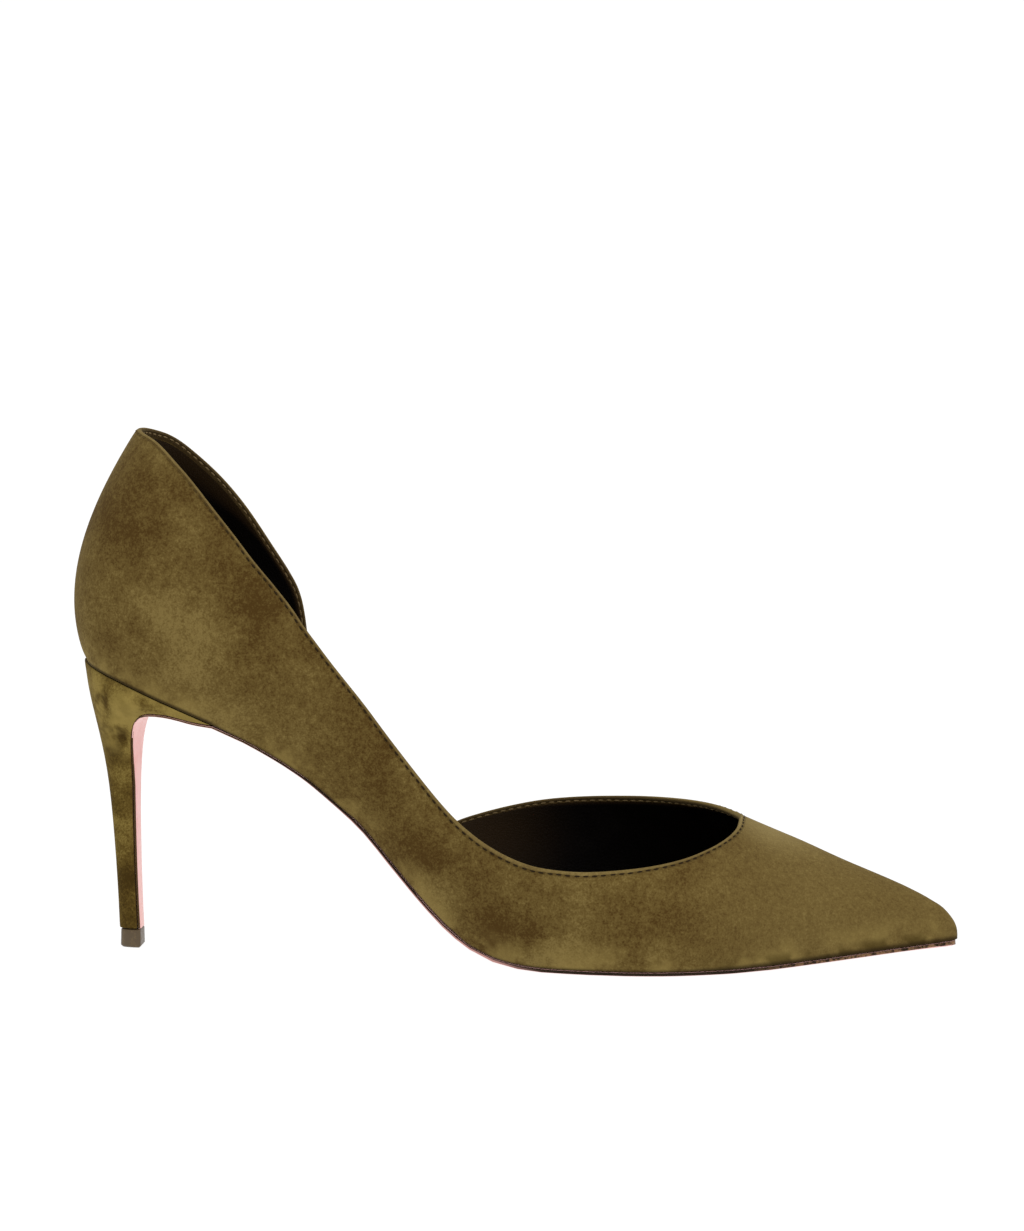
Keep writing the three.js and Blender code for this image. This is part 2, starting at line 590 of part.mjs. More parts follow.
function heelSlice(row) {
  const back = new THREE.Vector3(row.back * lipLength - heelSet, 0, row.backUp * heelHeight);
  const front = new THREE.Vector3(row.front * lipLength - heelSet, 0, row.frontUp * heelHeight);
  const half = THREE.MathUtils.lerp(row.half * seatWidth, (row.half / 0.084) * (stemWidth / 2), row.stem);
  const corner = (sign) =>
    Array.from({ length: heelSideSteps + 1 }, (_, i) => {
      const s = i / heelSideSteps;
      const place = lipPlace * (1 - s);
      const seat = footAt(sign < 0 ? place : around(1 - place));
      const seatForward = (seat.x + heelSet) / lipLength;
      const seatWide = Math.abs(seat.y) / seatHalf;
      const angle = (s * Math.PI) / 2;
      const stemForward = 1 - Math.sin(angle) ** 1.15;
      const stemWide = Math.cos(angle) ** 0.62;
      const forward = THREE.MathUtils.lerp(seatForward, stemForward, row.round);
      const wide = THREE.MathUtils.lerp(seatWide, stemWide, row.round);
      return back.clone().lerp(front, forward).setY(sign * wide * half);
    });
  return { outer: corner(-1), inner: corner(1), front };
}

// The seat slice lies a fit below the feather line.
function seatSlice() {
  const corner = (sign) =>
    Array.from({ length: heelSideSteps + 1 }, (_, i) => {
      const place = lipPlace * (1 - i / heelSideSteps);
      const p = footAt(sign < 0 ? place : around(1 - place));
      return p.setZ(p.z - fit);
    });
  return { outer: corner(-1), inner: corner(1) };
}

// A slice's outline: back along the outer side, forward along the inner side, then across the front.
function outline(slice) {
  const first = slice.outer[0];
  const last = slice.inner[0];
  const front = Array.from({ length: frontSteps - 1 }, (_, i) => last.clone().lerp(first, (i + 1) / frontSteps));
  return [...slice.outer, ...slice.inner.slice(0, -1).reverse(), ...front];
}

const heelSlices = HEEL.map(heelSlice);

function heelGeometry() {
  return loft([seatSlice(), ...heelSlices].map(outline));
}

// The sole runs from the toe under the waist and the heel's lip, and turns down the heel's front.
// Each stop holds its middle line's place on the sole's upper face, its two half-widths and its thickness.
function soleStops() {
  const lipGap = 9; // ahead of the lip, where the sole starts to clear the heel's thin edge
  const thickness = steadyCurve(
    [toX(0.16), toX(0.26), toX(0.46), toX(0.525), toX(1)],
    [flapThickness * 1.2, waistThickness, waistThickness * 1.2, soleThickness, soleThickness],
  );
  const underFoot = places
    .filter((place) => footAt(place).x > lipLength - heelSet + lipGap)
    .reverse()
    .map((place) => {
      const bar = crossBar(place, soleInset, 2);
      return {
        x: (bar[0].x + bar[2].x) / 2,
        z: featherHeight((bar[0].x + bar[2].x) / 2) - fit,
        outer: bar[0].y,
        inner: bar[2].y,
        thick: thickness(bar[0].x),
      };
    });
  const fronts = heelSlices.map((slice) => slice.front);
  const lip = seatSlice();
  fronts.unshift(lip.outer[0].clone().setY(0));
  const line = new THREE.CatmullRomCurve3(fronts, false, "centripetal");
  const underHeel = [];
  const heelStops = 30;
  for (let i = 0; i <= heelStops; i++) {
    const t = i / heelStops;
    const level = Math.min(Math.floor(t * (fronts.length - 1)), fronts.length - 2);
    const share = t * (fronts.length - 1) - level;
    const p = line.getPoint(t);
    const tangent = line.getTangent(t);
    const outerAt = (k) => (k === 0 ? lip.outer[0].y : heelSlices[k - 1].outer[0].y);
    const innerAt = (k) => (k === 0 ? lip.inner[0].y : heelSlices[k - 1].inner[0].y);
    underHeel.push({
      x: p.x - tangent.z * fit,
      z: p.z + tangent.x * fit,
      outer: THREE.MathUtils.lerp(outerAt(level), outerAt(level + 1), share) + soleInset * 0.6,
      inner: THREE.MathUtils.lerp(innerAt(level), innerAt(level + 1), share) - soleInset * 0.6,
      thick: flapThickness,
    });
  }
  return [...underFoot, ...underHeel];
}

function soleGeometry() {
  const stops = soleStops();
  const edgeRound = 0.28; // share of the thickness that the lower edge is turned up
  const tread = 0.82; // share of the width that is flat
  const sections = stops.map((stop, i) => {
    const before = stops[Math.max(i - 1, 0)];
    const after = stops[Math.min(i + 1, stops.length - 1)];
    const along = new THREE.Vector2(after.x - before.x, after.z - before.z).normalize();
    const at = (y, depth) => new THREE.Vector3(stop.x - along.y * depth, y, stop.z + along.x * depth);
    const { outer, inner, thick } = stop;
    return [
      at(outer, 0),
      at((outer + inner) / 2, 0),
      at(inner, 0),
      at(inner, thick * (1 - edgeRound) * 1),
      at(inner * tread + outer * (1 - tread) * 0.5, thick),
      at((outer + inner) / 2, thick),
      at(outer * tread + inner * (1 - tread) * 0.5, thick),
      at(outer, thick * (1 - edgeRound)),
    ];
  });
  return loft(sections);
}

// The replaceable tip that the heel stands on.
function tipGeometry() {
  const lowest = HEEL[HEEL.length - 1];
  const backX = lowest.back * lipLength - heelSet + tipInset;
  const frontX = lowest.front * lipLength - heelSet + fit + flapThickness;
  const half = stemWidth / 2;
  const plan = (inset) => {
    const side = (sign) =>
      Array.from({ length: heelSideSteps + 1 }, (_, i) => {
        const angle = ((i / heelSideSteps) * Math.PI) / 2;
        const forward = 1 - Math.sin(angle) ** 1.3;
        const wide = Math.cos(angle) ** 0.5;
        const x = THREE.MathUtils.lerp(backX + inset, frontX - inset, forward);
        return new THREE.Vector3(x, sign * wide * (half - inset), 0);
      });
    return outline({ outer: side(-1), inner: side(1) });
  };
  const at = (inset, z) => plan(inset).map((p) => p.setZ(z));
  return loft([at(0.1, tipHeight), at(0, tipChamfer), at(tipChamfer, 0)]);
}

const finish = {
  suede: new THREE.MeshStandardMaterial({ color: 0x6f5c33, roughness: 0.95, metalness: 0 }),
  heelSuede: new THREE.MeshStandardMaterial({ color: 0x655229, roughness: 0.95, metalness: 0 }),
  lining: new THREE.MeshStandardMaterial({ color: 0x2a1f17, roughness: 0.5, metalness: 0 }),
  soleLeather: new THREE.MeshStandardMaterial({ color: 0xe3b1a8, roughness: 0.3, metalness: 0 }),
  tipPlastic: new THREE.MeshStandardMaterial({ color: 0x6b5a45, roughness: 0.45, metalness: 0 }),
};

function piece(name, geometry, material) {
  const mesh = new THREE.Mesh(geometry, material);
  mesh.name = name;
  return mesh;
}

const pump = new THREE.Group();
pump.add(
  piece("upper", upperGeometry(), finish.suede),
  piece("insole", insoleGeometry(), finish.lining),
  piece("outsole", soleGeometry(), finish.soleLeather),
  piece("heel", heelGeometry(), finish.heelSuede),
  piece("heel_tip", tipGeometry(), finish.tipPlastic),
);

export default pump;
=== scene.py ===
# %% [markdown]
# # A suede stiletto pump
# The CAD model gives this shoe its true form: one hollow upper, an insole, a thin sole, a heel and its tip.
# Blender adds what CAD leaves plain: suede with its nap and clouds, a lining, a stitched top edge, and
# leather on the sole. The frame is loaded first, because every piece here is made from it or set on it.

# %% Load the CAD frame
import math
import bmesh
import bpy
import numpy as np
from mathutils import Matrix, Vector
from mathutils.bvhtree import BVHTree
from mathutils.kdtree import KDTree


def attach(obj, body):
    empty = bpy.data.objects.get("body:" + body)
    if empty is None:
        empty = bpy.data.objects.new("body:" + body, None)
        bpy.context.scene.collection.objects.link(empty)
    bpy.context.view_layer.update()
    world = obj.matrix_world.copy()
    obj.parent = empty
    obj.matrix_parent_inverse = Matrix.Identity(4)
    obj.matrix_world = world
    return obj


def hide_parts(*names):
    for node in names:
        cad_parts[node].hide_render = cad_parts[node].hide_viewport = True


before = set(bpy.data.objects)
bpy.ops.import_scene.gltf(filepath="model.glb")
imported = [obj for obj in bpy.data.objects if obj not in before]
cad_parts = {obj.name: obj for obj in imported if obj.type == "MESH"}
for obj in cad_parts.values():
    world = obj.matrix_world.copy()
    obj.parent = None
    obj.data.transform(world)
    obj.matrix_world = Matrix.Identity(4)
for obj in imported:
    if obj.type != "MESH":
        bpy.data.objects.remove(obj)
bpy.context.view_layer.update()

MM = 0.001
print("CAD nodes:", sorted(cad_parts))

# %% [markdown]
# ## Working on one piece at a time
# Blender's operators act on whatever is selected, and loading the frame leaves its nodes selected. So a
# small helper first selects one object alone. A second one copies a CAD node: the CAD mesh is loose
# triangles, and joining their corners and pairing them into quads gives a surface that can be smoothed.

# %% Helpers for pieces
def only(piece):
    bpy.ops.object.select_all(action="DESELECT")
    piece.select_set(True)
    bpy.context.view_layer.objects.active = piece


def edit(piece):
    only(piece)
    bpy.ops.object.mode_set(mode="EDIT")
    bpy.ops.mesh.select_all(action="SELECT")


def leave_edit():
    bpy.ops.object.mode_set(mode="OBJECT")


def copy_of(node, name):
    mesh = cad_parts[node].data.copy()
    mesh.name = name
    mesh.materials.clear()
    piece = bpy.data.objects.new(name, mesh)
    bpy.context.scene.collection.objects.link(piece)
    edit(piece)
    bpy.ops.mesh.customdata_custom_splitnormals_clear()
    bpy.ops.mesh.remove_doubles(threshold=0.004 * MM)
    bpy.ops.mesh.tris_convert_to_quads(face_threshold=math.radians(50), shape_threshold=math.radians(60))
    leave_edit()
    return piece


def select_sharp(degrees):
    bpy.ops.mesh.select_mode(type="EDGE")
    bpy.ops.mesh.select_all(action="DESELECT")
    bpy.ops.mesh.edges_select_sharp(sharpness=math.radians(degrees))


def finish_with(piece, kind, **values):
    only(piece)
    modifier = piece.modifiers.new(kind.title(), kind)
    for key, value in values.items():
        setattr(modifier, key, value)
    bpy.ops.object.modifier_apply(modifier=modifier.name)


# %% [markdown]
# ## The upper: which side is which
# The CAD upper is one wall with suede outside and lining inside, so its faces have to be told apart. A
# face of the outside looks away from the foot and a face of the inside looks at it. The line down the
# middle of the foot is read from the insole, a little above it, and each face is tested against it.

# %% Copy the upper and find the middle of the foot
STATIONS = 60
CORNERS_EACH = 90
INSOLE_END = 4 * MM
FOOT_FROM, FOOT_TO = 15 * MM, 225 * MM
LIFT_AT = [0, 60, 120, 200, 240]  # mm along the shoe
LIFT = [32, 22, 14, 9, 4]  # mm above the insole, at each of them

upper = copy_of("upper", "upper_suede")
insole_points = np.array([v.co[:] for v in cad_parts["insole"].data.vertices])
along_insole = insole_points[:, 0]
stations = np.linspace(along_insole.min() + INSOLE_END, along_insole.max() - INSOLE_END, STATIONS)
near = [insole_points[np.argsort(abs(along_insole - x))[:CORNERS_EACH]] for x in stations]
middle_y = np.array([(points[:, 1].min() + points[:, 1].max()) / 2 for points in near])
middle_z = np.array([points[:, 2].max() for points in near])
lift = np.interp(stations / MM, LIFT_AT, LIFT) * MM


def middle_of_foot(point):
    x = min(max(point.x, FOOT_FROM), FOOT_TO)
    return Vector((x, np.interp(x, stations, middle_y), np.interp(x, stations, middle_z + lift)))


print("faces of the upper:", len(upper.data.polygons))

# %% [markdown]
# ## The top edge
# Where outside meets inside at the top, the suede is folded over a half-round edge. That line guides the
# stitches and the painted highlight along the suede's edge. Its corners are easy to tell from all others: a
# line from one straight into the leather runs down inside the wall, and from anywhere else it soon comes
# out again. That picks one row of corners, and a band of three rows at the throat, where the fold is
# flatter. Walking from the highest corner to the neighbour with most of the band round it keeps to the
# middle row.

# %% Find the top edge of the upper
SKIN = 0.05 * MM
DEEPER_THAN_WALL = 3.3 * MM
CLEAR_OF_SOLE = 2.6 * MM
EDGE_STEP = 0.4 * MM


def surface_of(*objects):
    points, polygons = [], []
    for thing in objects:
        start = len(points)
        points += [v.co.copy() for v in thing.data.vertices]
        polygons += [[start + v for v in p.vertices] for p in thing.data.polygons]
    return BVHTree.FromPolygons(points, polygons)


def tree_of(points):
    tree = KDTree(len(points))
    for i, point in enumerate(points):
        tree.insert(point, i)
    tree.balance()
    return tree


wall = surface_of(upper)
below = surface_of(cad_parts["outsole"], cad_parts["heel"])


def on_top_edge(vertex):
    through = wall.ray_cast(vertex.co - vertex.normal * SKIN, -vertex.normal)[3]
    if through is None or through < DEEPER_THAN_WALL:
        return False
    return below.find_nearest(vertex.co)[3] > CLEAR_OF_SOLE


def row_in(mesh, band):
    """The closed row of corners along the middle of a band."""
    beside = {v: set() for v in band}
    for edge in mesh.edges:
        a, b = edge.vertices
        if a in band and b in band:
            beside[a].add(b)
            beside[b].add(a)
    row = [max(band, key=lambda v: mesh.vertices[v].co.z)]
    left = band - set(row)
    while ahead := beside[row[-1]] & left:
        facing = mesh.vertices[row[-1]].normal
        row.append(max(ahead, key=lambda v: (len(beside[v]), facing.dot(mesh.vertices[v].normal))))
        left.discard(row[-1])
    return row


ring = row_in(upper.data, {v.index for v in upper.data.vertices if on_top_edge(v)})
corners = [upper.data.vertices[v].co.copy() for v in ring]
aways = [upper.data.vertices[v].normal.copy() for v in ring]
outwards = []
for i, away in enumerate(aways):
    outwards.append((corners[(i + 1) % len(corners)] - corners[i - 1]).cross(away).normalized())
if sum(side.dot(corner - middle_of_foot(corner)) for side, corner in zip(outwards, corners)) < 0:
    outwards = [-side for side in outwards]
corner_tree = tree_of(corners)


def along(points, spacing, samples=12):
    """Points at an even spacing on a smooth closed curve through the given ones."""
    dense = []
    for i in range(len(points)):
        a, b, c, d = (points[(i + k) % len(points)] for k in (-1, 0, 1, 2))
        for t in (k / samples for k in range(samples)):
            smooth = (c - a) * t + (2 * a - 5 * b + 4 * c - d) * t**2 + (3 * b - a - 3 * c + d) * t**3
            dense.append(b + smooth / 2)
    steps = [(dense[(i + 1) % len(dense)] - p).length for i, p in enumerate(dense)]
    total = sum(steps)
    count = round(total / spacing)
    wanted = np.arange(count) * total / count
    reached = np.concatenate([[0], np.cumsum(steps)])
    closed = np.array([p[:] for p in dense] + [dense[0][:]])
    return [Vector(p) for p in np.column_stack([np.interp(wanted, reached, closed[:, k]) for k in range(3)])]


top_edge = along(corners, EDGE_STEP)
top_tree = tree_of(top_edge)
print("top edge:", len(corners), "corners,", round(len(top_edge) * EDGE_STEP / MM), "mm round")

# %% [markdown]
# ## Suede outside, lining inside
# Each face now gets its finish: the fold itself is still suede, as on a real shoe, and the lining starts
# just inside it. Then the mesh is smoothed with a Subdivision Surface. The sharp edge along the sole is
# creased first, so that smoothing leaves it where the CAD has it.

# %% Sort the faces and smooth the upper
SUEDE, LINING = 0, 1
BY_THE_EDGE = 4 * MM
FOLDED_OVER = 1.6 * MM
SOLE_EDGE_ANGLE = 55

for face in upper.data.polygons:
    corner, reach = corner_tree.find(face.center)[1:]
    away_from_foot = outwards[corner] if reach < BY_THE_EDGE else face.center - middle_of_foot(face.center)
    folded = top_tree.find(face.center)[2] < FOLDED_OVER
    face.material_index = SUEDE if face.normal.dot(away_from_foot) > 0 or folded else LINING
edit(upper)
select_sharp(SOLE_EDGE_ANGLE)
bpy.ops.transform.edge_crease(value=1)
leave_edit()
finish_with(upper, "SUBSURF", levels=2, render_levels=2)
only(upper)
bpy.ops.object.shade_smooth()
print("faces after smoothing:", len(upper.data.polygons))

# %% [markdown]
# ## Distances that the suede follows
# The suede's colour changes along its borders, and much of it is painted light and shade: a painted
# highlight on the fold, a groove under the stitches with a painted shadow in it, and painted shade by the
# sole. Three numbers in millimetres are stored on every point of the mesh: how far it lies from the top
# edge, how far outward of it, and how far from the sole or heel. The materials read them as attributes.

# %% Store the distances
def store(piece, name, values):
    attribute = piece.data.attributes.new(name, "FLOAT", "POINT")
    attribute.data.foreach_set("value", np.array(values, np.float32))


def outward_of_edge(point):
    near = top_tree.find(point)[0]
    return (point - near).dot(outwards[corner_tree.find(near)[1]])


store(upper, "from_edge", [top_tree.find(v.co)[2] / MM for v in upper.data.vertices])
store(upper, "outward", [outward_of_edge(v.co) / MM for v in upper.data.vertices])
store(upper, "from_sole", [below.find_nearest(v.co)[3] / MM for v in upper.data.vertices])
print("three distances stored on", len(upper.data.vertices), "points")

# %% [markdown]
# ## Stitches
# The fold is held by one row of fine stitches, about 1 mm below the edge and 2.5 mm apart. On the inside
# the same row is painted in a lighter thread colour, which stands for glints of light on it. One stitch is
# modelled, as a small bead drawn out and pressed flat, and copied along the row, each copy laid on the wall
# and turned to follow the edge.

# %% Model one stitch
STITCH_SIZE = (1.9, 0.56, 0.4)  # mm along, across and through the leather
STITCH_BEND = math.radians(14)

bpy.ops.mesh.primitive_uv_sphere_add(segments=8, ring_count=6, radius=0.5 * MM)
stitch = bpy.context.object
edit(stitch)
bpy.ops.transform.resize(value=STITCH_SIZE)
leave_edit()
finish_with(stitch, "SIMPLE_DEFORM", deform_method="BEND", angle=STITCH_BEND, deform_axis="Y")
print("one stitch:", len(stitch.data.polygons), "faces")

# %% Lay the two rows
PITCH = 2.5 * MM
INSET = 1.1 * MM
HALF_WALL = 1.2 * MM
upper_surface = surface_of(upper)


def row_of_stitches(name, outward, sink):
    guides = []
    for point in along(corners, PITCH):
        corner = corner_tree.find(point)[1]
        guess = point - aways[corner] * INSET + outwards[corner] * outward * HALF_WALL
        guides.append(upper_surface.find_nearest(guess)[:2])
    rows = bmesh.new()
    for i, (place, normal) in enumerate(guides):
        ahead = guides[(i + 1) % len(guides)][0] - guides[i - 1][0]
        side = normal.cross(ahead).normalized()
        turn = Matrix((side.cross(normal).normalized(), side, normal)).transposed().to_4x4()
        one = stitch.data.copy()
        one.transform(Matrix.Translation(place - normal * sink) @ turn)
        rows.from_mesh(one)
        bpy.data.meshes.remove(one)
    mesh = bpy.data.meshes.new(name)
    rows.to_mesh(mesh)
    rows.free()
    mesh.shade_smooth()
    piece = bpy.data.objects.new(name, mesh)
    bpy.context.scene.collection.objects.link(piece)
    print(name, "has", len(guides), "stitches")
    return piece


outer_stitches = row_of_stitches("stitches_outside", outward=1, sink=0.06 * MM)
inner_stitches = row_of_stitches("stitches_inside", outward=-1, sink=0.05 * MM)
bpy.data.objects.remove(stitch)

# %% [markdown]
# ## Insole, sole, heel and tip
# These forms are right in the CAD, so each is a copy with its hard edges eased by a small bevel. Real
# leather and covered plastic have no razor edges, and a thin line of light along an edge tells the eye
# how big a thing is. The sole also gets a stored number, how far each point lies below the upper.

# %% Ease the edges of the smaller pieces
HARD_EDGE_ANGLE = 50


def eased(node, name, width, segments=3):
    piece = copy_of(node, name)
    edit(piece)
    select_sharp(HARD_EDGE_ANGLE)
    bpy.ops.mesh.bevel(offset=width, segments=segments, affect="EDGES", clamp_overlap=True)
    leave_edit()
    print(name, len(piece.data.polygons), "faces")
    return piece


sock = eased("insole", "sock", 0.5 * MM)
sole = eased("outsole", "sole_leather", 0.22 * MM)
tip = eased("heel_tip", "tip_block", 0.35 * MM)
for piece, smooth_below in ((sock, 60), (sole, 60), (tip, 50)):
    only(piece)
    bpy.ops.object.shade_smooth_by_angle(angle=math.radians(smooth_below))
store(sole, "from_upper", [upper_surface.find_nearest(v.co)[3] / MM for v in sole.data.vertices])

# %% Smooth the heel's cover
heel = eased("heel", "heel_cover", 0.35 * MM, segments=2)
finish_with(heel, "SUBSURF", levels=1, render_levels=1)
only(heel)
bpy.ops.object.shade_smooth()
print("heel cover:", len(heel.data.polygons), "faces")

# %% [markdown]
# ## Colours and small node helpers
# Colours are given as they are read off a screen, from 0 to 255, and turned into the linear numbers that
# Blender's light works with. The helpers add one node each, so that a material reads like a short recipe.

# %% Helpers for materials
def colour(red, green, blue):
    def linear(part):
        part /= 255
        return part / 12.92 if part <= 0.04045 else ((part + 0.055) / 1.055) ** 2.4

    return (linear(red), linear(green), linear(blue), 1)


def feed(tree, socket, value):
    if isinstance(value, bpy.types.NodeSocket):
        tree.links.new(value, socket)
    else:
        socket.default_value = value


def calc(tree, operation, *values):
    node = tree.nodes.new("ShaderNodeMath")
    node.operation = operation
    for socket, value in zip(node.inputs, values):
        feed(tree, socket, value)
    return node.outputs[0]


def between(tree, value, low, high):
    node = tree.nodes.new("ShaderNodeMapRange")
    node.interpolation_type = "SMOOTHSTEP"
    feed(tree, node.inputs["Value"], value)
    feed(tree, node.inputs["From Min"], low)
    feed(tree, node.inputs["From Max"], high)
    return node.outputs["Result"]


def fading(tree, value, low, high):
    return calc(tree, "SUBTRACT", 1, between(tree, value, low, high))


def noise(tree, place, size, detail=2.0, rough=0.5, distortion=0.0):
    """Noise whose clouds are about size millimetres across."""
    node = tree.nodes.new("ShaderNodeTexNoise")
    tree.links.new(place, node.inputs["Vector"])
    node.inputs["Scale"].default_value = 1000 / size
    node.inputs["Detail"].default_value = detail
    node.inputs["Roughness"].default_value = rough
    node.inputs["Distortion"].default_value = distortion
    return node.outputs["Fac"]


def blend(tree, share, first, second):
    node = tree.nodes.new("ShaderNodeMix")
    node.data_type = "RGBA"
    feed(tree, node.inputs[0], share)
    feed(tree, node.inputs[6], first)
    feed(tree, node.inputs[7], second)
    return node.outputs[2]


def layered(tree, base, layers):
    """A base colour under layers, each with its mask, its strength and its colour."""
    for mask, strength, tone in layers:
        base = blend(tree, calc(tree, "MULTIPLY", mask, strength), base, tone)
    return base


def axis(tree, place, name):
    node = tree.nodes.new("ShaderNodeSeparateXYZ")
    tree.links.new(place, node.inputs[0])
    return node.outputs[name]


def scaled(tree, place, factor):
    node = tree.nodes.new("ShaderNodeVectorMath")
    node.operation = "SCALE"
    tree.links.new(place, node.inputs[0])
    node.inputs["Scale"].default_value = factor
    return node.outputs[0]


def near_point(tree, place, point, reach):
    """One at a point, falling to nothing at a reach in metres."""
    node = tree.nodes.new("ShaderNodeVectorMath")
    node.operation = "DISTANCE"
    tree.links.new(place, node.inputs[0])
    node.inputs[1].default_value = point
    return fading(tree, node.outputs["Value"], 0, reach)


def stored(tree, name):
    node = tree.nodes.new("ShaderNodeAttribute")
    node.attribute_name = name
    return node.outputs["Fac"]


def new_group(name, inputs, outputs):
    group = bpy.data.node_groups.new(name, "ShaderNodeTree")
    for label, kind in inputs:
        group.interface.new_socket(name=label, in_out="INPUT", socket_type="NodeSocket" + kind)
    for label, kind in outputs:
        group.interface.new_socket(name=label, in_out="OUTPUT", socket_type="NodeSocket" + kind)
    return group, group.nodes.new("NodeGroupInput"), group.nodes.new("NodeGroupOutput")


def placed_group(tree, group, **values):
    node = tree.nodes.new("ShaderNodeGroup")
    node.node_tree = group
    for label, value in values.items():
        feed(tree, node.inputs[label.replace("_", " ")], value)
    return node


def new_material(name):
    material = bpy.data.materials.new(name)
    material.use_nodes = True
    tree = material.node_tree
    place = tree.nodes.new("ShaderNodeTexCoord").outputs["Object"]
    return material, tree, tree.nodes["Principled BSDF"], place


def felted(shader, roughness):
    shader.inputs["Roughness"].default_value = roughness
    shader.inputs["Specular IOR Level"].default_value = 0.08
    shader.inputs["Sheen Weight"].default_value = 0.12
    shader.inputs["Sheen Roughness"].default_value = 0.45
    shader.inputs["Sheen Tint"].default_value = colour(190, 172, 120)


def raise_by(tree, shader, height, depth):
    bump = tree.nodes.new("ShaderNodeBump")
    bump.inputs["Strength"].default_value = 1
    bump.inputs["Distance"].default_value = depth
    tree.links.new(height, bump.inputs["Height"])
    tree.links.new(bump.outputs["Normal"], shader.inputs["Normal"])


# %% [markdown]
# ## Suede as a node group
# Suede is leather sanded until its fibres stand up. Where the nap lies one way it looks light, and where
# a finger has brushed it back it looks dark, so its colour comes in soft clouds one to three centimetres
# across, with smaller ones in them and a fine grain over all. Lean makes a place lighter or darker than
# its clouds would. The upper and the heel share this group.

# %% Build the nap group
nap, given, made = new_group(
    "suede_nap",
    [("Place", "Vector"), ("Dark", "Color"), ("Middle", "Color"), ("Light", "Color"), ("Brushed", "Float"),
     ("Lean", "Float")],
    [("Colour", "Color"), ("Height", "Float")],
)
spot = given.outputs["Place"]
large = noise(nap, spot, 30, 2, 0.45, 0.3)
small = noise(nap, spot, 9, 3, 0.5)
specks = noise(nap, spot, 1.5, 3, 0.7)
fibres = noise(nap, spot, 0.55, 2, 0.7)
mixed = calc(nap, "MULTIPLY_ADD", small, 0.34, calc(nap, "MULTIPLY", large, 0.66))
middle = calc(nap, "ADD", given.outputs["Lean"], 0.5)
clouds = calc(nap, "MULTIPLY_ADD", calc(nap, "SUBTRACT", mixed, 0.5), given.outputs["Brushed"], middle)
grain = calc(nap, "ADD", calc(nap, "MULTIPLY", specks, 0.5), calc(nap, "MULTIPLY", fibres, 0.5))
toned = calc(nap, "MULTIPLY_ADD", calc(nap, "SUBTRACT", grain, 0.5), 1.9, clouds)
darker = blend(nap, between(nap, toned, 0.1, 0.55), given.outputs["Dark"], given.outputs["Middle"])
lighter = blend(nap, between(nap, toned, 0.45, 0.95), darker, given.outputs["Light"])
nap.links.new(lighter, made.inputs["Colour"])
nap.links.new(grain, made.inputs["Height"])
print("group", nap.name, "has", len(nap.nodes), "nodes")

# %% [markdown]
# ## Spots of tone and painted shade
# The noise puts its clouds anywhere, but some places on this shoe are plain to see: a dark one by the top
# line, a light one over the seat, and so on, and a few on the heel. Most follow the suede's own mottling;
# the dark ones by the top line at the back are painted shade, where the quarter turns from the light.
# Each is a soft spot with its place along the shoe and above the floor. A noise shifts the place that is
# looked up, so that no spot comes out round.

# %% Place the spots of tone and shade
# Most spots are the suede's mottling; the dark ones by the top line at the back are painted shade.
SPOTS_OF_TONE_AND_SHADE = [  # along and above in mm, reach in mm, and how much lighter or, below 0, darker
    (0, 133, 25, -0.28), (37, 106, 18, -0.26), (23, 90, 22, 0.22), (-5, 82, 15, 0.2), (34, 67, 15, 0.25),
    (50, 57, 12, -0.2), (50, 77, 20, 0.12), (87, 33, 18, -0.2), (88, 21, 13, 0.24), (110, 18, 20, -0.25),
    (126, 3, 15, 0.25), (100, 35, 11, 0.15), (150, 14, 18, -0.12),
]
HEEL_SPOTS = [(3, 68, 10, 0.65), (-3, 75, 9, 0.45), (-3, 61, 9, -0.3), (-9, 72, 6, -0.2)]
WANDER = 24  # mm that the noise shifts a place by at most
WAVES_PER_METRE = 110


def lean_of_spots(tree, place, spots):
    shift = tree.nodes.new("ShaderNodeTexNoise")
    tree.links.new(place, shift.inputs["Vector"])
    shift.inputs["Scale"].default_value = WAVES_PER_METRE
    moved = tree.nodes.new("ShaderNodeVectorMath")
    moved.operation = "MULTIPLY_ADD"
    tree.links.new(shift.outputs["Color"], moved.inputs[0])
    moved.inputs[1].default_value = (WANDER * MM, 0, WANDER * MM)
    tree.links.new(place, moved.inputs[2])
    flat = tree.nodes.new("ShaderNodeVectorMath")
    flat.operation = "MULTIPLY"
    tree.links.new(moved.outputs[0], flat.inputs[0])
    flat.inputs[1].default_value = (1, 0, 1)
    lean = 0
    for forward, up, reach, tone in spots:
        middle = ((forward + WANDER / 2) * MM, 0, (up + WANDER / 2) * MM)
        spot = near_point(tree, flat.outputs[0], middle, reach * MM)
        lean = calc(tree, "MULTIPLY_ADD", spot, tone, lean)
    return lean


print("brushed spots:", len(SPOTS_OF_TONE_AND_SHADE) + len(HEEL_SPOTS))

# %% [markdown]
# ## The upper's suede
# The group gives the field of the suede, calmer towards the toe, where the leather is stretched over the
# last, and a little lighter there, which is painted light from above. On top of it come the borders: a
# painted highlight on the outer half of the fold and painted shade on its inner half, the dark grooves of
# the stitch row, with a painted shadow in it, and of the seam down the back, a lighter, patchy band above
# the sole, painted shade along the sole that is mottled at the toe, and a painted highlight at the throat.
# Each border is a mask from 0 to 1, made from distances in millimetres. The nap catches light at grazing
# angles, which is what the shader's sheen is for.

# %% Make the upper's suede
THROAT = (0.186, 0.002, 0.038)
ROW_LINE = 1.5  # mm from the top edge to the groove under the stitches

